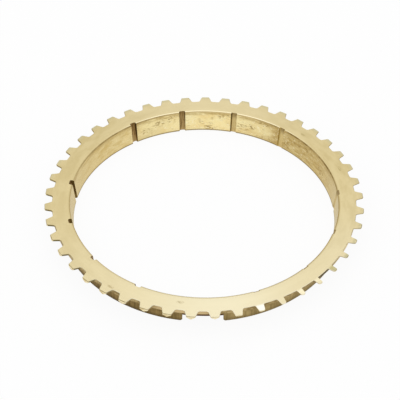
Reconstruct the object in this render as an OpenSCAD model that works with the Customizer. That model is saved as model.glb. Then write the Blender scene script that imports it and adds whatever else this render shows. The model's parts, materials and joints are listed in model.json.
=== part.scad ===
// Synchronizer ring of a gearbox (baulk ring): one brass ring with a conical friction
// bore, a flange of pointed dog teeth, and a skirt with three slots for the thrust keys.
// Frame: the ring's axis is Z, the skirt's end lies on Z = 0, the toothed face is up,
// and one key slot faces -Y. Millimetres.

/* [Friction cone] */
// Bore diameter where the cone would meet the toothed face
cone_d = 126.4; // [115:0.1:140]
// Half angle of the cone
cone_angle = 6; // [4:0.5:7]
// Chamfer at the large end of the cone, on the toothed face
mouth_chamfer = 0.5; // [0.2:0.1:1]
// Chamfer at the small end of the cone
end_chamfer = 0.5; // [0.2:0.1:1]

/* [Ring] */
// Height from the skirt's end to the toothed face
height = 11.4; // [9:0.1:16]
// Wall of the skirt, measured from the cone where it would meet the toothed face
skirt_wall = 4.3; // [3.5:0.1:6]
// Fillet between the skirt and the flange
skirt_fillet_r = 0.8; // [0.3:0.1:1.2]
// Chamfer round the outside of the skirt's end
skirt_chamfer = 0.5; // [0.2:0.1:1]
// Thickness of the flange that carries the teeth
flange_t = 2; // [1.9:0.1:3.5]
// Reach of the flange past the skirt, to the roots of the teeth
flange_reach = 4; // [2.5:0.1:6]

/* [Dog teeth] */
// Number of teeth, a multiple of the number of key slots
teeth = 45; // [39:3:48]
// Height of a tooth, from the root circle to its tip
tooth_h = 3.5; // [2.5:0.1:4.5]
// Width of a tooth at its tip
tooth_tip_w = 3.7; // [2.5:0.1:4.2]
// Slope of each flank, seen along the ring's axis
flank_angle = 19; // [10:1:22]
// Thickness of a tooth along its flanks
tooth_edge_t = 0.7; // [0.5:0.05:1]
// Thickness of a tooth at its ridge
tooth_ridge_t = 1.75; // [1.2:0.05:1.85]
// Angle between the two slopes that point a tooth
point_angle = 120; // [100:1:130]
// Fillet at the foot of each flank
root_fillet_r = 0.8; // [0.4:0.1:1.2]
// Round on the corners of each tip
tip_round_r = 0.4; // [0.2:0.1:0.8]

/* [Wear] */
// Width of the most worn tooth at its tip
worn_tip_w = 1.5; // [1:0.1:3.7]
// Slope that wear has left on its flanks
worn_flank_angle = 12; // [8:1:22]
// Round that wear has left on the corners of its tip
worn_tip_round_r = 0.6; // [0.2:0.1:0.8]
// Direction of the most worn tooth
wear_angle = -47; // [-180:1:180]
// Angle on either side of it over which the wear fades out
wear_reach = 52; // [10:2:90]

/* [Key slots] */
// Number of thrust keys
slots = 3; // [3]
// Width of a slot
slot_w = 18; // [12:0.5:22]
// Wall left behind a slot, measured as the skirt's wall is
slot_wall = 1; // [0.8:0.1:2]
// Chamfer where a slot opens at the skirt's end
slot_chamfer = 0.8; // [0.3:0.1:1.5]

/* [Oil grooves] */
// Groove places between two key slots
grooves_per_slot = 4; // [2:1:5]
// Width of a groove
groove_w = 2.9; // [1.5:0.1:4]
// Depth of a groove below the cone
groove_depth = 1.1; // [0.6:0.1:1.4]
// Angle by which the grooves trail the key slots
groove_lag = 2; // [0:0.5:4]
// Distance of the grooves' centre from the ring's axis
groove_run_out = 0.8; // [0:0.1:0.9]
// Direction of that run-out
groove_run_out_angle = 170; // [0:5:360]

/* [Hidden] */
$fn = 180;
over = 2;                                    // reach of a cut past the face it opens
stock = 1;                                   // metal above the toothed face before it is faced off
seat = 0.02;                                 // sink of a tooth's fillets into the root circle
fillet_steps = 4;
round_steps = 3;
tip_land = 0.1;                              // share of the narrowest tip that its rounds leave flat

cone_top_r = cone_d / 2;
cone_end_r = cone_top_r - height * tan(cone_angle);
slot_floor_r = cone_top_r + slot_wall;
skirt_r = cone_top_r + skirt_wall;
root_r = skirt_r + flange_reach;
tip_r = root_r + tooth_h;
flange_z = height - flange_t;                // underside of the flange

pitch_angle = 360 / teeth;
slot_angle = 360 / slots;
first_slot = -90;                            // one key slot faces -Y

// How worn the tooth in a direction is, from 0 to 1. The wear fades as a cosine does.
function angle_between(a, b) = abs((a - b + 540) % 360 - 180);
function worn_at(angle) = (1 + cos(180 * min(angle_between(angle, wear_angle) / wear_reach, 1))) / 2;
function mix(fresh, worn, share) = fresh + (worn - fresh) * share;

// One tooth in plan, along +X, worn by a share. A flank's outward normal is [sin, cos] of its
// slope. Both blends are arcs tangent to the flank: a fillet to the root circle and a round to
// the tip, which a narrow tip makes smaller.
fillet_c_r = root_r + root_fillet_r - seat;
foot_r = (skirt_r + root_r) / 2;             // depth to which a tooth is rooted in the flange

function arc(centre, r, from, to, steps) =
    [for (i = [0 : steps]) let (a = from + (to - from) * i / steps) centre + r * [cos(a), sin(a)]];
function mirrored(points) = [for (i = [len(points) - 1 : -1 : 0]) [points[i].x, -points[i].y]];

function half_tooth(share) =
    let (
        tip_w = mix(tooth_tip_w, worn_tip_w, share),
        slope = mix(flank_angle, worn_flank_angle, share),
        normal = [sin(slope), cos(slope)],
        flank_d = [tip_r, tip_w / 2] * normal,
        widest_round = (1 - tip_land) * tip_w / 2 * normal.y / (1 - normal.x),
        round_r = min(mix(tip_round_r, worn_tip_round_r, share), widest_round),
        round_x = tip_r - round_r,
        round_c = [round_x, (flank_d - round_r - round_x * normal.x) / normal.y],
        fillet_c_angle = 90 - slope - acos((flank_d + root_fillet_r) / fillet_c_r),
        fillet_c = fillet_c_r * [cos(fillet_c_angle), sin(fillet_c_angle)]
    )
    concat(
        [foot_r * [cos(fillet_c_angle), sin(fillet_c_angle)]],
        arc(fillet_c, root_fillet_r, fillet_c_angle + 180, 270 - slope, fillet_steps),
        arc(round_c, round_r, 90 - slope, 0, round_steps)
    );

module tooth_plan(share) {
    polygon(concat(half_tooth(share), mirrored(half_tooth(share))));
}

// End view of a tooth: flat on top, pointed underneath
module tooth_section() {
    ridge_half_w = (tooth_ridge_t - tooth_edge_t) * tan(point_angle / 2);
    edge_half_w = root_r * sin(pitch_angle / 2);
    polygon([
        [-edge_half_w, stock],
        [-edge_half_w, -tooth_edge_t],
        [-ridge_half_w, -tooth_edge_t],
        [0, -tooth_ridge_t],
        [ridge_half_w, -tooth_edge_t],
        [edge_half_w, -tooth_edge_t],
        [edge_half_w, stock],
    ]);
}

// A tooth along +X, worn by a share, with stock above the toothed face
module tooth(share) {
    translate([0, 0, height]) intersection() {
        translate([0, 0, -tooth_ridge_t]) linear_extrude(tooth_ridge_t + stock) tooth_plan(share);
        rotate([90, 0, 90]) linear_extrude(tip_r + over) tooth_section();
    }
}

// The turned blank: skirt, flange, conical bore and their edges, with stock above the face
module blank() {
    fillet_at = [skirt_r + skirt_fillet_r, flange_z - skirt_fillet_r];
    rotate_extrude() difference() {
        polygon([
            [cone_end_r + end_chamfer, 0],
            [skirt_r - skirt_chamfer, 0],
            [skirt_r, skirt_chamfer],
            [skirt_r, fillet_at.y],
            fillet_at,
            [fillet_at.x, flange_z],
            [root_r, flange_z],
            [root_r, height + stock],
            [cone_top_r + mouth_chamfer + stock, height + stock],
            [cone_top_r - mouth_chamfer * tan(cone_angle), height - mouth_chamfer],
            [cone_end_r + end_chamfer * tan(cone_angle), end_chamfer],
        ]);
        translate(fillet_at) circle(skirt_fillet_r);
    }
}

// Stock that is faced off, so that the flange and all its teeth share one flat face
module facing_cut() {
    translate([0, 0, height]) cylinder(r = tip_r + over, h = stock + over);
}

// Outline of a key slot along +X, flared at the skirt's end
module slot_run() {
    half_w = slot_w / 2;
    flare = slot_chamfer + over;
    rotate([90, 0, 90]) linear_extrude(tip_r) polygon([
        [-half_w - flare, -over],
        [half_w + flare, -over],
        [half_w, slot_chamfer],
        [half_w, height],
        [-half_w, height],
        [-half_w, slot_chamfer],
    ]);
}

// The key slots: open outwards and at the skirt's end, closed by the flange above
module key_slots() {
    intersection() {
        for (i = [0 : slots - 1])
            rotate(first_slot + i * slot_angle) slot_run();
        translate([0, 0, -over]) difference() {
            cylinder(r = root_r, h = flange_z + over);
            translate([0, 0, -over]) cylinder(r = slot_floor_r, h = flange_z + 3 * over);
        }
    }
}

// An oil groove along +X: a flat-floored cut that follows the cone from end to end
module oil_groove() {
    translate([cone_end_r, 0, 0]) rotate([0, cone_angle, 0])
        translate([-over - groove_run_out, -groove_w / 2, -over])
            cube([over + groove_run_out + groove_depth, groove_w, height / cos(cone_angle) + 2 * over]);
}

// All the oil grooves: they stand about a centre of their own, and none lies at a key slot
module oil_grooves() {
    translate(groove_run_out * [cos(groove_run_out_angle), sin(groove_run_out_angle)])
        for (i = [0 : slots - 1], j = [1 : grooves_per_slot])
            rotate(first_slot - groove_lag + (i + j / (grooves_per_slot + 1)) * slot_angle)
                oil_groove();
}

module synchronizer_ring() {
    color("#d8c48c") difference() {
        union() {
            blank();
            for (i = [0 : teeth - 1])
                let (angle = first_slot + (i + 0.5) * pitch_angle) rotate(angle) tooth(worn_at(angle));
        }
        facing_cut();
        key_slots();
        oil_grooves();
    }
}

synchronizer_ring();
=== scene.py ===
# %% [markdown]
# # A worn brass synchronizer ring
#
# The ring brakes a gear on its conical bore before the shift sleeve slides over its dog teeth.
# Its form is a rule: a section turned round an axis, a row of teeth, three key slots and a row of
# oil grooves. So one Geometry Nodes tree can make the whole piece, and the rest of this lesson is
# about how worn, machined brass looks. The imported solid, loaded first, gives the frame, the height
# and the sizes that its mounts state.

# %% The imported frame
import json
import math
from collections import namedtuple
from functools import partial, reduce

import bpy
from mathutils import Matrix, Vector


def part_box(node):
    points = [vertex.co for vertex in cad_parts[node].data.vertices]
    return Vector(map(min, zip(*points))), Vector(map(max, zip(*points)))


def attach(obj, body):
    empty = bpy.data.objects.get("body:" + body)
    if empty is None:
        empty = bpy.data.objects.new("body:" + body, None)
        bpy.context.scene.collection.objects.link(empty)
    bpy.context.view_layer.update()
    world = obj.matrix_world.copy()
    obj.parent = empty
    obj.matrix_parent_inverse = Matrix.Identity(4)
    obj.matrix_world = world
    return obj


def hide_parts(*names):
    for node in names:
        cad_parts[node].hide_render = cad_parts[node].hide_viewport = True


MM = 0.001

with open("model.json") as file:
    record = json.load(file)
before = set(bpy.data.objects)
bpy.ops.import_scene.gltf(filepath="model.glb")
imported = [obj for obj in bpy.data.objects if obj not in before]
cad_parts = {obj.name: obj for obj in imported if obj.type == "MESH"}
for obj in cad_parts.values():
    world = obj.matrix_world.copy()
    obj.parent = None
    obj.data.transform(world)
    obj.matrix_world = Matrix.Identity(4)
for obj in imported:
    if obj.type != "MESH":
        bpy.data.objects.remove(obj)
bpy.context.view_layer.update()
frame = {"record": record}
ring_low, ring_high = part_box("synchronizer_ring")
mounts = {mount["name"]: mount["dims"] for mount in frame["record"]["mounts"]}

height = ring_high.z - ring_low.z
teeth = int(mounts["dog_teeth"]["count"])
tip_r = mounts["dog_teeth"]["r_mm"] * MM
tooth_ridge_t = mounts["dog_teeth"]["length_mm"] * MM
print(f"ring: {2 * tip_r / MM:.0f} mm over {teeth} teeth, {height / MM:.1f} mm high")

# %% [markdown]
# ## The camera
#
# The view was measured on the tips and roots of the teeth, which lie on one flat face. That gave
# the focal length in pixels of a 400 pixel picture, how far the camera looks down, its small
# roll, and where the toothed face lies in front of the lens. A long lens could be set by eye, but
# that would miss the teeth by several pixels.

# %% Camera
photo_px = 400
focal_px = 1242.0
sensor_width = 36.0
look_down = math.radians(43.47)
camera_roll = math.radians(-0.724)
camera_turn = math.radians(0.11)
lens_to_face = 585.6 * MM
face_right = 2.04 * MM
face_up = 1.376 * MM
near_clip = 10 * MM


def add_object(name, data):
    """A new object, linked into the scene."""
    made = bpy.data.objects.new(name, data)
    bpy.context.scene.collection.objects.link(made)
    return made


def make_camera():
    """A camera whose axes are written out, so that no helper depends on the picture's size."""
    forward = Vector((0, math.cos(look_down), -math.sin(look_down)))
    level_up = Vector((0, math.sin(look_down), math.cos(look_down)))
    level_right = Vector((1, 0, 0))
    right = math.cos(camera_roll) * level_right - math.sin(camera_roll) * level_up
    up = math.sin(camera_roll) * level_right + math.cos(camera_roll) * level_up
    face_centre = Vector((0, 0, height))
    eye = face_centre - face_right * right - face_up * up - lens_to_face * forward
    axes = Matrix((right, up, -forward)).transposed().to_4x4()

    lens = bpy.data.cameras.new("camera")
    lens.sensor_width = sensor_width
    lens.lens = sensor_width * focal_px / photo_px
    lens.clip_start = near_clip
    camera = add_object("camera", lens)
    camera.matrix_world = Matrix.Rotation(camera_turn, 4, "Z") @ Matrix.Translation(eye) @ axes
    bpy.context.scene.camera = camera
    return camera


camera = make_camera()
eye_mm = [round(c / MM) for c in camera.matrix_world.translation]
print(f"camera: lens {camera.data.lens:.1f} mm, at {eye_mm} mm")

# %% [markdown]
# ## Writing nodes as formulas
#
# A rule such as a tooth's flank is a line of arithmetic, but in nodes it is a row of Math nodes
# with links between them. The small class below lets Python's own + - * / add those nodes, so
# the rule can be read. It serves the Geometry Nodes tree and the materials alike.

# %% Helpers for node trees
class Field:
    """A value that a node tree works out for each point. It adds, multiplies and compares."""

    def __init__(self, socket):
        self.socket = socket

    def __add__(self, other):
        return maths("ADD", self, other)

    __radd__ = __add__

    def __sub__(self, other):
        return maths("SUBTRACT", self, other)

    def __rsub__(self, other):
        return maths("SUBTRACT", other, self)

    def __mul__(self, other):
        return maths("MULTIPLY", self, other)

    __rmul__ = __mul__

    def __truediv__(self, other):
        return maths("DIVIDE", self, other)

    def __rtruediv__(self, other):
        return maths("DIVIDE", other, self)

    def __lt__(self, other):
        return maths("LESS_THAN", self, other)

    def __gt__(self, other):
        return maths("GREATER_THAN", self, other)

    def __abs__(self):
        return maths("ABSOLUTE", self)


def feed(socket, value):
    """Links a field to a socket, or sets a constant on it."""
    if isinstance(value, Field):
        socket.id_data.links.new(value.socket, socket)
    else:
        socket.default_value = value


def add_node(tree, kind, inputs=None, **settings):
    """Adds a node, sets its properties and feeds its inputs by name or by number."""
    node = tree.nodes.new(kind)
    for name, value in settings.items():
        setattr(node, name, value)
    for name, value in (inputs or {}).items():
        feed(node.inputs[name], value)
    return node


def output_of(tree, kind, output, inputs=None, **settings):
    """Adds a node and gives one of its outputs as a field."""
    return Field(add_node(tree, kind, inputs, **settings).outputs[output])


def maths(operation, *terms):
    """One Math node, in the tree that its first field belongs to."""
    tree = next(term for term in terms if isinstance(term, Field)).socket.id_data
    return output_of(tree, "ShaderNodeMath", 0, dict(enumerate(terms)), operation=operation)


print("nodes: fields as formulas")

# %% Formulas
sine = partial(maths, "SINE")
cosine = partial(maths, "COSINE")
arc_sine = partial(maths, "ARCSINE")
root = partial(maths, "SQRT")
sign = partial(maths, "SIGN")
smaller = partial(maths, "MINIMUM")
larger = partial(maths, "MAXIMUM")
whole = partial(maths, "FLOOR")
fold = partial(maths, "FLOORED_MODULO")


def same(a, b):
    """1 where two whole numbers agree, even if one of them is a little off."""
    return maths("COMPARE", a, b, 0.25)


def choose(flag, yes, no):
    """yes where the flag is 1, no where it is 0."""
    return no + flag * (yes - no)


def span(value, from_low, from_high, to_low, to_high, interpolation="LINEAR"):
    """Maps one range of values onto another, and holds still outside it."""
    tree = value.socket.id_data
    limits = dict(enumerate((value, from_low, from_high, to_low, to_high)))
    return output_of(tree, "ShaderNodeMapRange", "Result", limits, interpolation_type=interpolation)


def vector(tree, x, y, z):
    return output_of(tree, "ShaderNodeCombineXYZ", "Vector", {"X": x, "Y": y, "Z": z})


def parts_of(value):
    """The X, Y and Z of a vector field."""
    node = add_node(value.socket.id_data, "ShaderNodeSeparateXYZ", {"Vector": value})
    return [Field(output) for output in node.outputs]


print("formulas: short names for Math nodes")

# %% [markdown]
# ## Patterns that follow the ring
#
# The ring is one piece of brass, but each surface was left by another tool and another wear.
# Turning marks run round the ring, streaks run down it, and one side has seen more use than the
# other. A noise on plain X, Y and Z would look like stone. So the Object coordinates are first
# turned into what the ring sees: the cosine and sine of the angle, the radius and the height. A
# noise on these runs round without a seam, and can be drawn out along any of them.

# %% Ring space and noise
RingSpace = namedtuple("RingSpace", "tree cos_a sin_a radius z")
noise_low = 0.3
noise_high = 0.7


def ring_space(tree):
    """Object coordinates as the ring sees them."""
    x, y, z = parts_of(output_of(tree, "ShaderNodeTexCoord", "Object"))
    radius = root(x * x + y * y)
    return RingSpace(tree, x / radius, y / radius, radius, z)


def round_noise(at, arc, rise=None, depth=None, seed=0.0):
    """Noise with grains of about these sizes round the ring, up it and across it, in metres."""
    turns = tip_r / arc
    across = seed
    if rise:
        across = across + at.z / rise
    if depth:
        across = across + at.radius / depth
    place = vector(at.tree, at.cos_a * turns, at.sin_a * turns, across)
    settings = {"Vector": place, "Scale": 1.0, "Detail": 3.0, "Roughness": 0.55}
    return output_of(at.tree, "ShaderNodeTexNoise", "Fac", settings)


print("patterns: noise round the ring")


# %% Masks
def ease(value, low, high):
    """0 below low, 1 above high, and a soft step between them."""
    return span(value, low, high, 0.0, 1.0, "SMOOTHSTEP")


def facing(at, direction):
    """The cosine of the angle from a direction, given in degrees."""
    turn = math.radians(direction)
    return at.cos_a * math.cos(turn) + at.sin_a * math.sin(turn)


def sector(at, direction, reach):
    """1 in a direction, about a third half way out, and 0 from reach degrees away from it."""
    share = span(facing(at, direction), math.cos(math.radians(reach)), 1.0, 0.0, 1.0)
    return share * share


def broad_sector(at, direction, reach, gain):
    """A sector that stays at 1 over more of its middle."""
    return smaller(sector(at, direction, reach) * gain, 1.0)


def spot(at, direction, arc, across):
    """1 in a direction and where across is 0, fading out over an arc and as across nears 1."""
    along = facing(at, direction - 90) * at.radius / arc
    this_side = facing(at, direction) > 0.0
    return span(along * along + across * across, 0.0, 1.0, 1.0, 0.0, "SMOOTHSTEP") * this_side


print("masks: soft steps, sectors and spots")


# %% Tones and brass
def srgb(red, green, blue):
    """A colour as a picture gives it, 0 to 255, in the linear light that shaders use."""
    linear = [((c / 255 + 0.055) / 1.055) ** 2.4 for c in (red, green, blue)]
    return (*linear, 1.0)


def blend(factor, low, high):
    """One colour where the factor is 0, the other where it is 1."""
    tree = factor.socket.id_data
    return output_of(tree, "ShaderNodeMix", 2, {0: factor, 6: low, 7: high}, data_type="RGBA")


def brass(name, colour, grain, grain_height, roughness):
    """Brass whose colour follows a rule, and whose gloss and bump follow a fine grain.

    Bare metal turns white where it is seen along its surface. The tint keeps it brass there. The
    grain height is the bump's depth. The two roughnesses are those of its floor and its top.
    """
    material = bpy.data.materials.new(name)
    material.use_nodes = True
    tree = material.node_tree
    at = ring_space(tree)
    shader = tree.nodes["Principled BSDF"]
    shader.inputs["Metallic"].default_value = 1.0
    shader.inputs["Specular Tint"].default_value = srgb(250, 244, 230)
    feed(shader.inputs["Base Color"], colour(at))
    marks = grain(at)
    feed(shader.inputs["Roughness"], span(marks, noise_low, noise_high, *roughness))
    bump = {"Height": marks, "Distance": grain_height}
    feed(shader.inputs["Normal"], output_of(tree, "ShaderNodeBump", "Normal", bump))
    return material


print("brass: colour, gloss and grain")

# %% [markdown]
# ## The turned face
#
# The toothed face was turned flat. It is pale on the side that saw the most use, partly from real
# wear and partly from a painted sheen. A ramp along Y would draw a straight border, so the pale tone
# comes in by the angle from that side. Slow clouds of a second tone and a few old oil stains keep it
# from looking painted, and the grain is a noise drawn out round the ring until it is a set of turning
# marks.

# %% Face finish
# The worn side: real wear, and where the face carries a painted sheen and the broken edges a painted
# highlight.
worn_and_sheen_side = -82
tooth_h = 3.5 * MM
root_r = tip_r - tooth_h
oil_stains = [(-98.5, 67.2 * MM), (-125, 70.8 * MM), (18, 68.6 * MM), (43.5, 67.1 * MM)]


def face_colour(at):
    clouds = ease(round_noise(at, arc=11 * MM, depth=4 * MM), 0.35, 0.65)
    tone = blend(clouds, srgb(210, 192, 141), srgb(221, 204, 155))

    # The back is pale, and the worn side is palest, partly from wear and partly from a painted sheen.
    # Between them the face keeps more colour.
    tone = blend(sector(at, 88, 60) * 0.8, tone, srgb(231, 216, 172))
    tone = blend(sector(at, worn_and_sheen_side, 105), tone, srgb(238, 228, 194))
    tone = blend(sector(at, -50, 30) * 0.3, tone, srgb(218, 200, 150))
    tone = blend(sector(at, -120, 35) * 0.25, tone, srgb(226, 208, 155))
    tone = blend(sector(at, -170, 50) * 0.4, tone, srgb(226, 209, 160))

    # Painted highlights: one thin tooth is near white and the most worn ones are cream, partly from
    # their wear. The one after them is darker, with painted shade.
    on_teeth = ease(at.radius, root_r - 0.5 * MM, root_r + 1 * MM)
    tone = blend(on_teeth * sector(at, -70, 8), tone, srgb(255, 252, 240))
    tone = blend(on_teeth * sector(at, -51, 11), tone, srgb(250, 240, 206))
    tone = blend(on_teeth * sector(at, -38, 6), tone, srgb(195, 185, 135))

    # Dirt speckles the tips at the right, and painted shade darkens those at the back.
    smudges = ease(round_noise(at, arc=1.6 * MM, depth=1.2 * MM, seed=9.0), 0.35, 0.55)
    at_tips = ease(at.radius, tip_r - 2.4 * MM, tip_r - 0.6 * MM)
    speckled = smudges * broad_sector(at, -26, 26, 1.6)
    tone = blend(at_tips * speckled, tone, srgb(197, 189, 148))
    tone = blend(at_tips * broad_sector(at, 90, 140, 2) * 0.6, tone, srgb(203, 196, 157))

    smear = ease(round_noise(at, arc=0.9 * MM, depth=0.5 * MM), 0.35, 0.6)
    for direction, radius in oil_stains:
        stain = spot(at, direction, 2.2 * MM, (at.radius - radius) / (1.0 * MM))
        tone = blend(stain * smear * 0.5, tone, srgb(158, 138, 84))
    return tone


def face_grain(at):
    return round_noise(at, arc=40 * MM, depth=0.15 * MM)


faced_brass = brass("faced_brass", face_colour, face_grain, 0.002 * MM, (0.34, 0.46))
print("faced_brass:", len(faced_brass.node_tree.nodes), "nodes")

# %% [markdown]
# ## The friction cone
#
# Braking burnished the cone to gold, and grit scored it. The scores are short dark dashes that lie
# round the ring and come in clusters. One noise alone would spread them evenly, so a dozen places
# are named where they lie thick, and elsewhere a second, larger noise lets a few through. The
# side that carries the shallow grooves is browner, and the strip under the mouth is stained.

# %% Cone finish
scored_places = [
    (112, 7), (118, 5), (107, 8.6), (81, 9.4), (88, 2), (69, 6),
    (74, 5), (62, 10.2), (49, 4), (43, 8.6), (36, 9.4), (25, 4.5),
]
burnished_places = [(116, 8), (105, 5), (96, 6), (85, 5), (63, 6), (71, 8)]


def places_on_cone(at, places, arc, rise):
    """1 in the middle of each place, given by its direction and its height in millimetres."""
    spots = [spot(at, direction, arc, (at.z - up * MM) / rise) for direction, up in places]
    return reduce(larger, spots)


def cone_scores(at):
    """Dashes that are thick in the scored places and thin elsewhere round the cone."""
    clusters = ease(round_noise(at, arc=6 * MM, rise=4 * MM, seed=21.0), 0.46, 0.62)
    thin = clusters * larger(sector(at, 80, 75), sector(at, -100, 75)) * 0.6
    thick = places_on_cone(at, scored_places, 4.5 * MM, 2.5 * MM)
    dashes = ease(round_noise(at, arc=1.9 * MM, rise=0.7 * MM, seed=13.0), 0.5, 0.6)
    return larger(thin, thick) * dashes


def cone_colour(at):
    drift = ease(round_noise(at, arc=14 * MM, rise=9 * MM, seed=5.0), 0.3, 0.7)
    tone = blend(drift, srgb(250, 226, 160), srgb(255, 246, 196))

    # Gold on the left and in front, brown where the grooves are shallow, olive at both ends.
    mottle = ease(round_noise(at, arc=7 * MM, rise=1.8 * MM, seed=17.0), 0.36, 0.64)
    gold = blend(mottle, srgb(208, 182, 118), srgb(224, 203, 147))
    tone = blend(larger(sector(at, 150, 75), broad_sector(at, -90, 120, 3)), tone, gold)
    tone = blend(mottle * sector(at, 80, 70) * 0.5, tone, srgb(238, 208, 138))
    burnished = places_on_cone(at, burnished_places, 8 * MM, 4.5 * MM)
    streaks = ease(round_noise(at, arc=8 * MM, rise=1.1 * MM, seed=8.0), 0.34, 0.66)
    brown = blend(streaks, srgb(188, 160, 98), srgb(214, 192, 134))
    tone = blend(broad_sector(at, 24, 62, 1.8), tone, brown)
    tone = blend(burnished * 0.5, tone, srgb(255, 240, 182))
    tone = blend(sector(at, -6, 40), tone, srgb(214, 197, 150))
    tone = blend(sector(at, 180, 40), tone, srgb(218, 200, 151))

    # Painted glints as cream flecks, then the scores, the stained strip under the mouth and painted
    # shade along the foot.
    glint_flecks = ease(round_noise(at, arc=1.8 * MM, rise=0.8 * MM, seed=34.0), 0.58, 0.68)
    tone = blend(glint_flecks * sector(at, 75, 90) * 0.7, tone, srgb(255, 245, 208))
    tone = blend(cone_scores(at) * 0.8, tone, srgb(150, 122, 66))
    under_mouth = ease(at.z, 8.5 * MM, 10.6 * MM) * ease(mottle + streaks, 0.4, 1.2)
    tone = blend(under_mouth * 0.6, tone, srgb(176, 149, 88))
    # Painted shade along the foot of the cone.
    foot_shade = 1 - ease(at.z, 0.8 * MM, 1.3 * MM)
    return blend(foot_shade * 0.85, tone, srgb(138, 118, 78))


def cone_grain(at):
    return round_noise(at, arc=3 * MM, rise=0.3 * MM)


cone_brass = brass("cone_brass", cone_colour, cone_grain, 0.01 * MM, (0.25, 0.4))
print("cone_brass:", len(cone_brass.node_tree.nodes), "nodes")

# %% [markdown]
# ## The mouth of the cone
#
# Where the cone meets the face there is a narrow chamfer that no gear ever touches. Its dark brown
# is painted shade, and it draws a thin brown line round the bore. The face just outside it is a lip
# with a painted highlight at the back. Lines could be painted by radius on the face, but both are
# strips of their own in the section, so each simply gets its finish.

# %% Mouth and lip finishes
# Painted shade in dark brown, lighter towards the back and the sides.
def mouth_colour(at):
    patches = ease(round_noise(at, arc=6 * MM, seed=3.0), 0.35, 0.65)
    tone = blend(patches, srgb(142, 117, 66), srgb(190, 166, 112))
    tone = blend(broad_sector(at, -12, 30, 2), tone, srgb(196, 174, 120))
    tone = blend(sector(at, 150, 35) * 0.5, tone, srgb(196, 172, 118))
    tone = blend(sector(at, 88, 45), tone, srgb(214, 192, 138))
    return blend(broad_sector(at, -160, 60, 2), tone, srgb(208, 188, 136))


# A painted highlight at the back, and a paler tone on the worn side.
def lip_colour_and_highlight(at):
    tone = blend(broad_sector(at, 88, 60, 1.5), srgb(212, 195, 146), srgb(255, 243, 205))
    return blend(sector(at, worn_and_sheen_side, 100), tone, srgb(214, 202, 162))


def fine_grain(at):
    return round_noise(at, arc=0.5 * MM, rise=0.5 * MM, depth=0.5 * MM)


mouth_brass = brass("mouth_brass", mouth_colour, fine_grain, 0.005 * MM, (0.4, 0.55))
lip_brass = brass("lip_brass", lip_colour_and_highlight, fine_grain, 0.002 * MM, (0.3, 0.4))
print("mouth_brass, lip_brass: chamfer and lip")

# %% [markdown]
# ## Oil grooves
#
# The grooves are dark brown, darkest at their upper ends and in one corner. Where a groove is
# shallow it is lighter and shows olive brass. The floor and the sides are separate finishes: the
# sides are painted darker, as shade, and that corner takes the finish of the sides.

# %% Groove finishes
def groove_colour(at, dark, middle, shallow_tone):
    streaks = ease(round_noise(at, arc=0.7 * MM, rise=5 * MM, seed=2.0), 0.35, 0.65)
    tone = blend(streaks, dark, middle)
    tone = blend(broad_sector(at, 30, 85, 2), tone, shallow_tone)
    tone = blend(broad_sector(at, -26, 64, 2), tone, srgb(218, 198, 147))
    lower_end = 1 - ease(at.z, 0.5 * MM, 5 * MM)
    tone = blend(lower_end * 0.5, tone, blend(streaks, middle, shallow_tone))
    tone = blend(lower_end * sector(at, 148, 14), tone, srgb(206, 178, 120))
    upper_end = ease(at.z, 7 * MM, 11.2 * MM)
    tone = blend(upper_end * 0.65, tone, dark)
    return blend(sector(at, -142, 20) * 0.7, tone, srgb(186, 158, 118))


def groove_floor_colour(at):
    return groove_colour(at, srgb(122, 94, 50), srgb(190, 156, 102), srgb(222, 200, 140))


# Painted shade: the sides are darker than the floor.
def groove_side_colour(at):
    tone = groove_colour(at, srgb(112, 90, 40), srgb(150, 122, 66), srgb(150, 126, 72))
    return blend(broad_sector(at, 50, 10, 2), tone, srgb(196, 172, 104))


def drawn_grain(at):
    return round_noise(at, arc=0.3 * MM, rise=3 * MM)


groove_brass = brass("groove_brass", groove_floor_colour, drawn_grain, 0.01 * MM, (0.45, 0.6))
groove_side_brass = brass("groove_side_brass", groove_side_colour, drawn_grain, 0.01 * MM, (0.5, 0.65))
print("groove_brass, groove_side_brass: floor and sides")

# %% [markdown]
# ## The rim and its edges
#
# The sides of the teeth and of the flange are as they left the forge: mottled, with a darker skin in
# the gaps that no sleeve has rubbed, deepened by painted shade under the teeth. The flanks carry
# painted shade, and the tips of the teeth are brighter with a painted highlight. The upper edge of
# all this is broken by a fine file stroke, and such an edge always shows first in a picture: cream on
# the worn side, partly rubbed and partly a painted highlight, and olive elsewhere, as painted shade.

# %% Rim and edge finishes
tip_start = tip_r - 0.5 * MM
gap_end = root_r + 0.3 * MM


def rim_colour(at):
    mottle = ease(round_noise(at, arc=2.2 * MM, rise=1.2 * MM, depth=2 * MM), 0.4, 0.62)
    tone = blend(mottle, srgb(176, 151, 104), srgb(224, 201, 154))
    # The gaps are darker: forge skin, deepened by painted shade under the teeth.
    in_gap = 1 - ease(at.radius, gap_end - 0.2 * MM, gap_end + 0.2 * MM)
    tone = blend(in_gap, tone, blend(mottle, srgb(146, 124, 80), srgb(186, 164, 116)))

    # The gaps: pale by the key slot, painted shade where the skirt drops out of sight, pale after
    # that.
    tone = blend(in_gap * broad_sector(at, -97, 14, 2), tone, srgb(206, 181, 134))
    tone = blend(in_gap * sector(at, -42, 8), tone, srgb(92, 78, 46))
    tone = blend(in_gap * sector(at, -25, 14), tone, srgb(226, 206, 154))

    # Painted shade on the flanks, then the tips, brightened with a painted highlight.
    tone = blend(sector(at, -160, 100) * (1 - in_gap), tone, srgb(114, 102, 62))
    tone = blend(sector(at, 48, 62) * (1 - in_gap), tone, srgb(146, 130, 82))
    tone = blend(sector(at, -22, 30) * (1 - in_gap), tone, srgb(150, 132, 84))
    at_tip = ease(at.radius, tip_start, tip_start + 0.3 * MM)
    tone = blend(at_tip, tone, blend(mottle, srgb(222, 202, 152), srgb(250, 238, 200)))
    return blend(at_tip * broad_sector(at, -58, 20, 1.5), tone, srgb(248, 238, 206))


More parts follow.
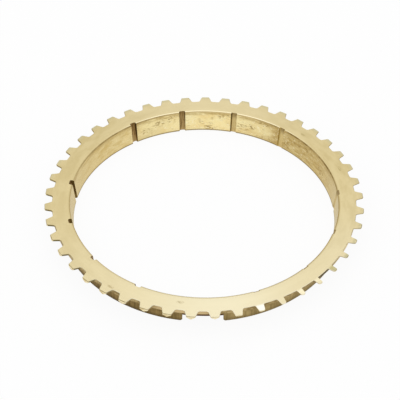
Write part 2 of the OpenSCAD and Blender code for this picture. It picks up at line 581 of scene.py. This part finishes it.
# Painted highlight in cream on the worn side, partly from rubbing, and painted shade in olive
# elsewhere.
def edge_colour(at):
    at_tip = ease(at.radius, tip_start, tip_start + 0.3 * MM)
    edge_shade = blend(at_tip, srgb(166, 148, 100), srgb(134, 120, 76))
    rubbed_and_highlit = blend(at_tip, srgb(255, 249, 222), srgb(150, 132, 86))
    tone = blend(sector(at, worn_and_sheen_side, 100), edge_shade, rubbed_and_highlit)
    return blend(broad_sector(at, -66, 34, 1.5), tone, srgb(252, 243, 214))


rim_brass = brass("rim_brass", rim_colour, fine_grain, 0.01 * MM, (0.35, 0.5))
edge_brass = brass("edge_brass", edge_colour, fine_grain, 0.003 * MM, (0.3, 0.42))
print("rim_brass, edge_brass: sides and broken edges")

# %% [markdown]
# ## The skirt
#
# The skirt is never touched in use. It is dull and brown, partly its own dark skin and partly painted
# shade under the flange, with upright streaks where oil ran down and dried. It is darkest along its
# end and at the foot of the key slots, which is painted shadow.
# Streaks could be drawn one by one, but a noise drawn out along the height gives them all. A
# slower one drifts below them, and the height gives the fall in tone.

# %% Skirt finish
mid_wall_r = tip_r - 9.5 * MM


def skirt_colour(at):
    streaks = ease(round_noise(at, arc=0.8 * MM, rise=12 * MM), 0.3, 0.7)
    drift = ease(round_noise(at, arc=7 * MM, rise=5 * MM, seed=4.0), 0.35, 0.65)
    weathered = streaks * 0.6 + drift * 0.4
    tone = blend(weathered, srgb(106, 85, 46), srgb(158, 132, 82))
    olive = blend(weathered, srgb(138, 117, 72), srgb(184, 162, 110))
    tone = blend(broad_sector(at, -45, 75, 1.5), tone, olive)
    # Painted shadow along the end, deeper on the left.
    low = 1 - ease(at.z, 0.4 * MM, 3 * MM)
    tone = blend(low * 0.45, tone, srgb(92, 74, 42))
    tone = blend(low * sector(at, -118, 40) * 0.6, tone, srgb(80, 64, 36))

    # A slot's floor lies deeper than the middle of the skirt's wall. The end face stays as it is.
    above_end = ease(at.z, 0.05 * MM, 0.2 * MM)
    in_slot = (1 - ease(at.radius, mid_wall_r - 0.5 * MM, mid_wall_r + 0.5 * MM)) * above_end
    # The foot of a slot's floor is painted dark red-brown as shade.
    slot_shade_tone = blend(ease(at.z, 2.5 * MM, 5 * MM), srgb(82, 44, 22), srgb(112, 88, 52))
    return blend(in_slot * 0.85, tone, slot_shade_tone)


skirt_brass = brass("skirt_brass", skirt_colour, drawn_grain, 0.015 * MM, (0.45, 0.6))
print("skirt_brass:", len(skirt_brass.node_tree.nodes), "nodes")

# %% All finishes, in the order of their numbers
finishes = [cone_brass, mouth_brass, lip_brass, faced_brass, edge_brass, rim_brass]
finishes += [skirt_brass, groove_brass, groove_side_brass]
CONE, MOUTH, LIP, FACE, EDGE, RIM, SKIRT, GROOVE, GROOVE_SIDE = range(len(finishes))
print("finishes:", len(finishes))

# %% [markdown]
# ## The section
#
# A turned part starts as half a section. Each row below is one line that will run round the
# ring, in the order in which a finger would follow the section: up the cone, across the face,
# over the teeth, back under the flange, down the skirt and along the end. A row has a radius and
# a height, the rule that bends it later, the finish of the strip behind it, and where the row
# goes inside a key slot. The rows sit closer where an edge is broken, so that edges catch light.

# %% Sizes of the section
cone_top_r = 63.2 * MM
cone_slope = math.tan(math.radians(6))
mouth_chamfer = 0.5 * MM
end_chamfer = 0.5 * MM
slot_floor_r = cone_top_r + 1.0 * MM
skirt_r = cone_top_r + 4.3 * MM
skirt_fillet_r = 0.8 * MM
skirt_chamfer = 0.5 * MM
flange_z = height - 2.0 * MM
slot_chamfer = 1.3 * MM
edge_break = 0.16 * MM
face_break = 0.05 * MM
face_break_w = 0.5 * MM
thread_pitch = 0.65 * MM
thread_depth = 0.04 * MM
thread_start = 0.8 * MM
thread_turns = 14
fillet_rows = 5
groove_margin = 2.8 * MM
tooth_margin = 1.5 * MM
end_line_r = slot_floor_r - 0.15 * MM

BORE, THREAD, OUTLINE, UNDERSIDE, FOOT, ROOT, IN_SLOT, END = range(8)
Row = namedtuple("Row", "rule r z finish inset slot_r slot_z")
section = []


def cone_r(z):
    return cone_top_r - (height - z) * cone_slope


def add_row(rule, r, z, finish, inset=0.0, slot=None):
    """One line of the ring, and where it goes inside a key slot if that is elsewhere."""
    section.append(Row(rule, r, z, finish, inset, *(slot or (r, z))))


radii_mm = [round(r / MM, 1) for r in (cone_top_r, skirt_r, root_r, tip_r)]
print("section: radii of cone, skirt, roots and tips in mm:", radii_mm)

# %% Rows of the section
add_row(BORE, cone_r(0) + end_chamfer, 0, CONE)
add_row(BORE, cone_r(end_chamfer), end_chamfer, CONE)
for i in range(2 * thread_turns):
    z = thread_start + i * thread_pitch / 2
    add_row(THREAD, cone_r(z), z, CONE, inset=(i % 2) * thread_depth)
mouth_row = len(section)
mouth_r = cone_top_r + mouth_chamfer
add_row(BORE, cone_r(height - mouth_chamfer), height - mouth_chamfer, MOUTH)
add_row(BORE, mouth_r, height - face_break, LIP)
add_row(BORE, mouth_r + face_break_w, height, FACE)
add_row(BORE, mouth_r + groove_margin, height, FACE)

add_row(ROOT, root_r, height, FACE, inset=tooth_margin)
add_row(OUTLINE, root_r, height, EDGE, inset=edge_break)
add_row(OUTLINE, root_r, height - edge_break, RIM)
add_row(UNDERSIDE, root_r, edge_break, RIM)
add_row(UNDERSIDE, root_r, 0, RIM, inset=edge_break)
add_row(FOOT, root_r, 0, RIM)
add_row(ROOT, root_r, flange_z + edge_break, RIM)
add_row(ROOT, root_r, flange_z, SKIRT, inset=edge_break)

for i in range(fillet_rows + 1):
    share = i / fillet_rows
    turn = math.radians(90 + 90 * share)
    r = skirt_r + skirt_fillet_r * (1 + math.cos(turn))
    z = flange_z - skirt_fillet_r * (1 - math.sin(turn))
    ceiling_r = skirt_r + skirt_fillet_r + share * (slot_floor_r - skirt_r - skirt_fillet_r)
    add_row(IN_SLOT, r, z, SKIRT, slot=(ceiling_r, flange_z))
for z in (slot_chamfer, skirt_chamfer):
    add_row(IN_SLOT, skirt_r, z, SKIRT, slot=(slot_floor_r, z))
add_row(IN_SLOT, skirt_r - skirt_chamfer, 0, SKIRT, slot=(slot_floor_r, 0))
add_row(END, end_line_r, 0, SKIRT)


def section_mesh():
    """The rows as points in the XZ plane, each with its facts as attributes."""
    mesh = bpy.data.meshes.new("section")
    mesh.from_pydata([(row.r, 0, row.z) for row in section], [], [])
    for name in ("rule", "finish", "inset", "slot_r", "slot_z"):
        attribute = mesh.attributes.new(name, "FLOAT", "POINT")
        attribute.data.foreach_set("value", [getattr(row, name) for row in section])
    return mesh


ring = add_object("ring_finish", section_mesh())
print(f"section: {len(section)} rows, {thread_turns} turns of thread")

# %% [markdown]
# ## The tree and its inputs
#
# The tree takes the section as its geometry and the sizes of what repeats as named inputs, so
# that a tooth or a slot can be changed in one place. It lays out a flat grid with one column for
# each station round the ring and one line for each row, and every later step only tells a point
# where to go. Instancing 45 teeth on a turned blank would be the other way, but their feet would
# have to be joined by a boolean, and a folded grid is closed by itself.

# %% Inputs of the ring's tree
outline_steps = 13
stations = teeth * 2 * outline_steps
sizes = {
    "Teeth": teeth,
    "Stations": stations,
    "Rows": len(section),
    "Tip radius": tip_r,
    "Root radius": root_r,
    "Tooth tip width": 3.7 * MM,
    "Flank angle": math.radians(19),
    "Tip round": 0.55 * MM,
    "Worn tip width": 2.1 * MM,
    "Worn flank angle": math.radians(4),
    "Worn tip round": 0.95 * MM,
    "Wear direction": math.radians(-47),
    "Wear reach": math.radians(52),
    "Rubbed tip round": 1.0 * MM,
    "Rubbing direction": math.radians(-15),
    "Rubbing reach": math.radians(75),
    "Root fillet": 1.1 * MM,
    "Worn root fillet": 0.4 * MM,
    "Edge thickness": 0.7 * MM,
    "Ridge thickness": tooth_ridge_t,
    "Worn ridge thickness": 0.75 * MM,
    "Point angle": math.radians(120),
    "Face run-out": 0.35 * MM,
    "Skirt run-out": 0.8 * MM,
    "Turning run-out direction": math.radians(-150),
    "Key slots": 3,
    "Slot width": 18 * MM,
    "Slot chamfer": slot_chamfer,
    "Groove places per slot": 5,
    "Groove width": 2.9 * MM,
    "Groove depth": 1.1 * MM,
    "Groove floor round": 0.6 * MM,
    "Groove wall lean": 0.06 * MM,
    "Groove lag": math.radians(2),
    "Groove run-out": 0.8 * MM,
    "Run-out direction": math.radians(170),
    "Thread pitch": thread_pitch,
    "Seed": 7,
}
tree = bpy.data.node_groups.new("synchronizer_ring_shape", "GeometryNodeTree")
tree.interface.new_socket("Geometry", in_out="OUTPUT", socket_type="NodeSocketGeometry")
tree.interface.new_socket("Section", in_out="INPUT", socket_type="NodeSocketGeometry")
for name, value in sizes.items():
    kind = "NodeSocketInt" if isinstance(value, int) else "NodeSocketFloat"
    tree.interface.new_socket(name, in_out="INPUT", socket_type=kind)
group_input = add_node(tree, "NodeGroupInput")
group_output = add_node(tree, "NodeGroupOutput")
size = {name: Field(group_input.outputs[name]) for name in sizes}
section_points = Field(group_input.outputs["Section"])
print(f"tree: {len(sizes)} named inputs, {stations} stations round the ring")

# %% [markdown]
# ## Turning
#
# Each grid point knows its index, and so its station and its row. It samples its row's facts
# from the section. The first rule is the lathe: every row becomes a circle. The later rules
# each replace the place of their own rows, so the order is that of the workshop.

# %% Grid, stations and rows
first_angle = math.radians(-90)
full_turn = 2 * math.pi


def sampled(geometry, value, index, kind="FLOAT"):
    """The value that one numbered point of another geometry has."""
    inputs = {"Geometry": geometry, "Value": value, "Index": index}
    return output_of(tree, "GeometryNodeSampleIndex", "Value", inputs, data_type=kind, clamp=True)


def named(name):
    kind = "GeometryNodeInputNamedAttribute"
    return output_of(tree, kind, "Attribute", {"Name": name}, data_type="FLOAT")


def turned(x, y, z, angle):
    """A point that lies at x, y in a frame turned by an angle about the ring's axis."""
    cos_a = cosine(angle)
    sin_a = sine(angle)
    return vector(tree, x * cos_a - y * sin_a, x * sin_a + y * cos_a, z)


grid_size = {"Vertices X": size["Stations"] + 1, "Vertices Y": size["Rows"] + 1}
grid = output_of(tree, "GeometryNodeMeshGrid", "Mesh", grid_size)
index = output_of(tree, "GeometryNodeInputIndex", "Index")
position = output_of(tree, "GeometryNodeInputPosition", "Position")
station = whole((index + 0.5) / (size["Rows"] + 1))
row = fold(index - station * (size["Rows"] + 1), size["Rows"])

row_place = parts_of(sampled(section_points, position, row, "FLOAT_VECTOR"))
rule = sampled(section_points, named("rule"), row)
inset = sampled(section_points, named("inset"), row)
station_step = full_turn / size["Stations"]
print(f"grid: {stations + 1} columns of {len(section) + 1} points")

# %% The thread and the lathe
# The oil thread climbs by one pitch a turn. Its ends meet on the floor of the first oil groove.
groove_places = sizes["Key slots"] * sizes["Groove places per slot"]
first_groove = full_turn / groove_places - sizes["Groove lag"]
thread_seam = stations * first_groove / full_turn
on_thread = same(rule, THREAD)
climb = fold(station - thread_seam, size["Stations"]) / size["Stations"] * size["Thread pitch"]
row_z = row_place[2] + on_thread * climb
row_r = row_place[0] + on_thread * (climb * cone_slope + inset)


def move(geometry, selection, place):
    """A Set Position node on the points that a rule selects, or on all of them."""
    inputs = {"Geometry": geometry, "Position": place}
    if selection is not None:
        inputs["Selection"] = selection
    return output_of(tree, "GeometryNodeSetPosition", "Geometry", inputs)


lathe_place = turned(row_r, 0.0, row_z, first_angle + station * station_step)
shape = move(grid, None, lathe_place)
print("turning: the grid is a ring")

# %% [markdown]
# ## Dog teeth
#
# A tooth is symmetrical, so only half of one is drawn: from the middle of its tip, round the tip's
# corner, down the flank, through the fillet at its foot and on to the middle of the gap. It is a
# line with four points whose two corners are filleted. On one side of the ring the sleeve has
# worn the teeth thin, and further round it has rubbed their tips blunt. So the half is drawn
# three times, fresh, rubbed and worn, and each tooth mixes the three point by point. Every
# station of the ring folds onto that mixed outline.

# %% Half of one tooth
pitch_angle = full_turn / size["Teeth"]
straight_steps = 3
fillet_points = (outline_steps - straight_steps) // 2


def half_outline(tip_width, flank_angle, tip_round, foot_round):
    """The outline of half a tooth and half a gap, as a curve with rounded corners."""
    outer_r = size["Tip radius"]
    inner_r = size["Root radius"]
    half_tip = tip_width / 2
    flank_distance = outer_r * sine(flank_angle) + half_tip * cosine(flank_angle)
    foot_angle = arc_sine(flank_distance / inner_r) - flank_angle
    corners = [
        vector(tree, outer_r, 0.0, 0.0),
        vector(tree, outer_r, half_tip, 0.0),
        vector(tree, inner_r * cosine(foot_angle), inner_r * sine(foot_angle), 0.0),
        vector(tree, inner_r * cosine(pitch_angle / 2), inner_r * sine(pitch_angle / 2), 0.0),
    ]
    choice = add_node(tree, "GeometryNodeIndexSwitch", data_type="VECTOR")
    for _ in corners[2:]:
        choice.index_switch_items.new()
    feed(choice.inputs["Index"], index)
    for i, corner in enumerate(corners):
        feed(choice.inputs[f"{i}"], corner)

    line = output_of(tree, "GeometryNodeMeshLine", "Mesh", {"Count": len(corners)})
    line = move(line, None, Field(choice.outputs["Output"]))
    curve = output_of(tree, "GeometryNodeMeshToCurve", "Curve", {"Mesh": line})
    radius = choose(index < 1.5, tip_round, foot_round)
    fillets = {"Curve": curve, "Count": fillet_points, "Radius": radius}
    return output_of(tree, "GeometryNodeFilletCurve", "Curve", fillets, mode="POLY")


fresh_sizes = ("Tooth tip width", "Flank angle", "Tip round", "Root fillet")
rubbed_sizes = ("Tooth tip width", "Flank angle", "Rubbed tip round", "Root fillet")
worn_sizes = ("Worn tip width", "Worn flank angle", "Worn tip round", "Worn root fillet")
halves = [
    half_outline(*[size[name] for name in names])
    for names in (fresh_sizes, rubbed_sizes, worn_sizes)
]
print("half a tooth: outlines for fresh, rubbed and most worn")

# %% All the teeth
tooth = whole((station + 0.5) / (2 * outline_steps))
tooth_angle = first_angle + (tooth + 0.5) * pitch_angle
tooth_step = station - tooth * (2 * outline_steps) - outline_steps
side = sign(tooth_step)
place = abs(tooth_step)


def fading(direction, middle, reach):
    """1 in the middle of a stretch of the ring, and less on both sides, as a cosine falls."""
    turn = fold(direction - middle + math.pi, full_turn) - math.pi
    return (1 + cosine(smaller(abs(turn) / reach, 1.0) * math.pi)) / 2


rubbing = fading(tooth_angle, size["Rubbing direction"], size["Rubbing reach"])
wear = fading(tooth_angle, size["Wear direction"], size["Wear reach"])


def on_outline(value):
    """The X and Y of a value of the half outline, mixed by the rubbing and the wear here."""
    fresh, rubbed_and_highlit, worn = [parts_of(sampled(half, value, place, "FLOAT_VECTOR")) for half in halves]
    mixed = [choose(wear, w, choose(rubbing, r, f)) for f, r, w in zip(fresh, rubbed_and_highlit, worn)]
    return mixed[:2]


tangent = output_of(tree, "GeometryNodeInputTangent", "Tangent")
outline_x, outline_y = on_outline(position)
along_x, along_y = on_outline(tangent)
print(f"teeth: {2 * outline_steps} stations fold onto each")

# %% [markdown]
# ## Edges and undersides of the teeth
#
# Underneath, a tooth is pointed like a roof, so that the sleeve's teeth find their way past it,
# and its thickness follows from the distance to the ridge. The sleeve strikes that roof, so wear
# flattens it first. The blank sat a little out of true in the lathe, so the flange and its teeth
# are thicker on one side, by the cosine of the angle from it. A bevel could break the upper edges,
# but all alike. Here each tooth draws its own width, because no two edges are filed alike.

# %% Broken edges
# Inputs 2 and 3 of the random node are its least and its most.
least_break = 0.7
most_break = 1.4
deburring = {2: least_break, 3: most_break, "ID": tooth, "Seed": size["Seed"]}
broken = inset * output_of(tree, "FunctionNodeRandomValue", 1, deburring)
top_x = outline_x - broken * along_y
top_y = outline_y + broken * along_x
shape = move(shape, same(rule, OUTLINE), turned(top_x, side * top_y, row_z, tooth_angle))
print(f"edges: {edge_break / MM:.2f} mm, times {least_break} to {most_break}")

# %% Undersides of the teeth
ledge = larger(root(outline_x * outline_x + outline_y * outline_y) - size["Root radius"], 0.0)
ridge_fall = outline_y / maths("TANGENT", size["Point angle"] / 2)
ridge_wear_gain = 2.5
flattened = smaller(wear * ridge_wear_gain, 1.0)
ridge_t = choose(flattened, size["Worn ridge thickness"], size["Ridge thickness"])
off_true = cosine(first_angle + station * station_step - size["Turning run-out direction"])
extra = size["Face run-out"] * off_true
thickness = larger(size["Edge thickness"], ridge_t - ridge_fall) + extra
underside_z = height - thickness

tucked = smaller(inset, ledge / 2)
lift = smaller(row_z, ledge / 2)
under_x = outline_x - tucked * along_y
under_y = outline_y + tucked * along_x
under_place = turned(under_x, side * under_y, underside_z + lift, tooth_angle)
shape = move(shape, same(rule, UNDERSIDE), under_place)

flange_r = size["Root radius"] - inset
flange_x = root(flange_r * flange_r - outline_y * outline_y)
shape = move(shape, same(rule, FOOT), turned(flange_x, side * outline_y, underside_z, tooth_angle))

# Where the flange is thick, its underside and the fillet below it sink.
skirt_middle = height / 2
below_face = height - 1 * MM
under_flange = (row_z > skirt_middle) * (row_z < below_face)
sink = under_flange * extra
shape = move(shape, same(rule, ROOT), turned(flange_x, side * outline_y, row_z - sink, tooth_angle))
print("teeth: pointed and worn underneath")

# %% [markdown]
# ## Key slots
#
# Three thrust keys of the hub push on the ring in these slots. A slot has parallel sides, so its
# stations are placed by their distance from the slot's middle and not by angle. Two stations
# share each side: one keeps the skirt's section, the next has the slot's, and the strip between
# them is the wall. Past the wall, the stations spread back to their even places. The skirt was
# turned in the same setting as the flange, so it stands out a little on the same side.

# %% Slots in the skirt
# Stations from a slot's middle to its wall, and to where they are even again.
wall_station = 25
settle_station = 52
stations_per_slot = size["Stations"] / size["Key slots"]
slot_number = whole(station / stations_per_slot + 0.5)
from_slot = station - slot_number * stations_per_slot
slot_reach = abs(from_slot)
inside_slot = slot_reach < wall_station + 0.5

slot_r = sampled(section_points, named("slot_r"), row)
slot_z = sampled(section_points, named("slot_z"), row)
place_r = choose(inside_slot, slot_r, row_r + size["Skirt run-out"] * off_true)
place_z = choose(inside_slot, slot_z, row_z) - sink
half_slot = size["Slot width"] / 2 + larger(size["Slot chamfer"] - place_z, 0.0)
inner_angle = arc_sine(half_slot * (slot_reach / wall_station) / place_r)
settle_angle = station_step * settle_station
on_end = same(rule, END)
wall_angle = arc_sine(half_slot / place_r) + on_end * station_step
outer_angle = span(slot_reach, wall_station + 1, settle_station, wall_angle, settle_angle)
outer_angle = outer_angle + larger(slot_reach - settle_station, 0.0) * station_step
slot_turn = choose(inside_slot, inner_angle, outer_angle) * sign(from_slot)
slot_middle = first_angle + slot_number * (full_turn / size["Key slots"])
slot_place = turned(place_r, 0.0, place_z, slot_middle + slot_turn)
shape = move(shape, same(rule, IN_SLOT) + on_end, slot_place)
print("slots: walls between two stations")

# %% [markdown]
# ## Oil grooves
#
# Grooves run down the cone and carry oil away, so that the cone can bite. They were broached
# about a centre a little off the ring's axis: on one side they are deep and dark, on the other
# they hardly mark the cone. So a groove's floor is measured from that centre, and the cone's
# surface wins wherever the floor lies in front of it. Every fifth place is a key slot, where the
# wall is too thin for a groove.

# %% Grooves in the cone
# The same two numbers for a groove.
groove_wall = 3.5
groove_settle = 20
places = size["Key slots"] * size["Groove places per slot"]
stations_per_place = size["Stations"] / places
lag_stations = size["Groove lag"] / station_step


def groove_fold(at_station):
    """The number of the nearest groove place, and the stations from its middle."""
    lagged = at_station + lag_stations
    number = whole(lagged / stations_per_place + 0.5)
    has_groove = fold(number, size["Groove places per slot"]) > 0.5
    return number, lagged - number * stations_per_place, has_groove


groove_number, from_groove, has_groove = groove_fold(station)
groove_angle = first_angle - size["Groove lag"] + groove_number * (full_turn / places)
groove_reach = abs(from_groove)
groove_side = sign(from_groove)
half_groove = size["Groove width"] / 2
groove_y = half_groove * sine(larger(smaller(from_groove / groove_wall, 1.0), -1.0) * (math.pi / 2))

off_axis = size["Run-out direction"] - groove_angle
centre_x = size["Groove run-out"] * cosine(off_axis)
centre_y = size["Groove run-out"] * sine(off_axis)
surface_x = root(row_r * row_r - (groove_y + centre_y) * (groove_y + centre_y)) - centre_x
cone_angle_secant = math.sqrt(1 + cone_slope ** 2)
floor_x = cone_r(0) + row_z * cone_slope + size["Groove depth"] * cone_angle_secant
floor_round = size["Groove floor round"]
into_round = larger(abs(groove_y) - half_groove + floor_round, 0.0)
round_share = smaller(into_round / floor_round, 1.0)
floor_x = floor_x - floor_round * (1 - root(1 - round_share * round_share))
cut_place = turned(larger(surface_x, floor_x) + centre_x, groove_y + centre_y, row_z, groove_angle)
print("grooves: floors off the axis")

# %% Beside the grooves
# The stations start at a groove's wall and spread back to their even places.
wall_y = groove_side * (half_groove + size["Groove wall lean"])
wall_turn = arc_sine((wall_y + centre_y) / row_r)
wall_shift = wall_turn - groove_side * (groove_wall + 1) * station_step
settle_share = span(groove_reach, groove_wall + 1, groove_settle, 1.0, 0.0)
beside_turn = from_groove * station_step + wall_shift * settle_share
beside_place = turned(row_r, 0.0, row_z, groove_angle + beside_turn)

near_groove = (same(rule, BORE) + on_thread + on_end) * has_groove * (groove_reach < groove_settle)
inside_groove = groove_reach < groove_wall + 0.5
shape = move(shape, near_groove * inside_groove, cut_place)
shape = move(shape, near_groove * (1 - inside_groove), beside_place)
print("grooves: four between each two key slots")

# %% [markdown]
# ## Closing the ring
#
# The grid's first and last columns now lie on each other, as do its first and last rows and the
# strips that have no width in the gaps of the teeth. Merge by Distance closes them all. Rolled up
# this way the grid's faces look into the metal, so they are flipped. Each face takes the finish of
# the row it starts from, except inside a groove. The finish is stored before the merge, while a
# face's number still tells its station and row.

# %% Finishes and the end of the tree
face_station = whole((index + 0.5) / size["Rows"])
face_row = index - face_station * size["Rows"]
face_finish = sampled(section_points, named("finish"), face_row)
darker_corner = 1
merge_distance = 0.01 * MM
_, face_from_groove, face_has_groove = groove_fold(face_station + 0.5)
in_cone = face_row < mouth_row + 1.5
face_reach = abs(face_from_groove)
groove_strip = in_cone * face_has_groove * (face_reach < groove_wall + 1)
in_corner = larger(face_reach > groove_wall, face_from_groove > darker_corner)
groove_finish = choose(in_corner, GROOVE_SIDE, GROOVE)
finish = choose(groove_strip, groove_finish, face_finish)
storing = {"Geometry": shape, "Name": "finish", "Value": finish}
kind = "GeometryNodeStoreNamedAttribute"
stored = output_of(tree, kind, "Geometry", storing, data_type="FLOAT", domain="FACE")
merging = {"Geometry": stored, "Distance": merge_distance}
merged = output_of(tree, "GeometryNodeMergeByDistance", "Geometry", merging)
outward = output_of(tree, "GeometryNodeFlipFaces", "Mesh", {"Mesh": merged})
shape = output_of(tree, "GeometryNodeRealizeInstances", "Geometry", {"Geometry": outward})
for number, material in enumerate(finishes):
    chosen = same(named("finish"), number)
    painting = {"Geometry": shape, "Material": material, "Selection": chosen}
    shape = output_of(tree, "GeometryNodeSetMaterial", "Geometry", painting)
feed(group_output.inputs["Geometry"], shape)
print(f"tree: {len(tree.nodes)} nodes")

# %% From nodes to a plain mesh
sharp_angle = math.radians(30)
modifier = ring.modifiers.new("ring_shape", "NODES")
modifier.node_group = tree
for item in tree.interface.items_tree:
    if item.item_type == "SOCKET" and item.name in sizes:
        modifier[item.identifier] = sizes[item.name]
evaluated = ring.evaluated_get(bpy.context.evaluated_depsgraph_get())
ring_mesh = bpy.data.meshes.new_from_object(evaluated)
ring.modifiers.remove(modifier)
ring.data = ring_mesh
ring_mesh.shade_smooth()
ring_mesh.set_sharp_from_angle(angle=sharp_angle)
triangles = sum(len(polygon.vertices) - 2 for polygon in ring_mesh.polygons)
print(f"ring_finish: {len(ring_mesh.vertices)} points, {triangles} triangles")

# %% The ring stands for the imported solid
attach(ring, "root")
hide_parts("synchronizer_ring")
print("ring_finish: rides on root")

# %% [markdown]
# ## Floor and light
#
# The ring lies on white. The floor is pale and catches the ring's shadow, and a share of it is
# plain white to the camera and to reflections. It reaches so far that a low view sees no edge. The
# light is two big soft boxes and a pale surround, just bright enough to show a colour as written.

# %% Floor
half_floor = 6.0
floor_gap = 0.02 * MM
white = (1.0, 1.0, 1.0, 1.0)
corner_signs = ((-1, -1), (1, -1), (1, 1), (-1, 1))
floor_corners = [(x * half_floor, y * half_floor, -floor_gap) for x, y in corner_signs]
floor_mesh = bpy.data.meshes.new("floor")
floor_mesh.from_pydata(floor_corners, [], [range(len(floor_corners))])
floor = add_object("floor", floor_mesh)
print(f"floor: {2 * half_floor:.0f} m wide, {floor_gap / MM:.2f} mm below the ring")


def white_floor():
    """White paper: mostly plain white to the eye and to reflections, and it keeps the shadow."""
    white_share = 0.93
    material = bpy.data.materials.new("white_floor")
    material.use_nodes = True
    tree = material.node_tree
    tree.nodes.clear()
    paper = output_of(tree, "ShaderNodeBsdfDiffuse", "BSDF", {"Color": (0.95, 0.95, 0.95, 1.0)})
    glow = output_of(tree, "ShaderNodeEmission", "Emission", {"Color": white, "Strength": 1.0})
    ray = add_node(tree, "ShaderNodeLightPath")
    rays = ("Is Camera Ray", "Is Glossy Ray", "Is Transmission Ray")
    seen = reduce(larger, [Field(ray.outputs[name]) for name in rays])
    mixing = {0: seen * white_share, 1: paper, 2: glow}
    mixed = output_of(tree, "ShaderNodeMixShader", "Shader", mixing)
    add_node(tree, "ShaderNodeOutputMaterial", {"Surface": mixed})
    return material


floor_mesh.materials.append(white_floor())

# %% Lamps and surround
def soft_box(name, place, width, power):
    lamp = bpy.data.lights.new(name, "AREA")
    lamp.size = width
    lamp.energy = power
    box = add_object(name, lamp)
    box.location = place
    box.rotation_euler = (-Vector(place)).to_track_quat("-Z", "Y").to_euler()


soft_box("key_light", place=(0.1, 0.5, 0.9), width=0.8, power=0.7)
soft_box("fill_light", place=(-0.6, -0.3, 0.8), width=0.8, power=0.6)

surround_strength = 0.85
world = bpy.data.worlds.new("surround")
world.use_nodes = True
background = world.node_tree.nodes["Background"]
background.inputs["Color"].default_value = white
background.inputs["Strength"].default_value = surround_strength
bpy.context.scene.world = world
bpy.context.scene.view_settings.view_transform = "Standard"
print("light: two soft boxes and a surround")
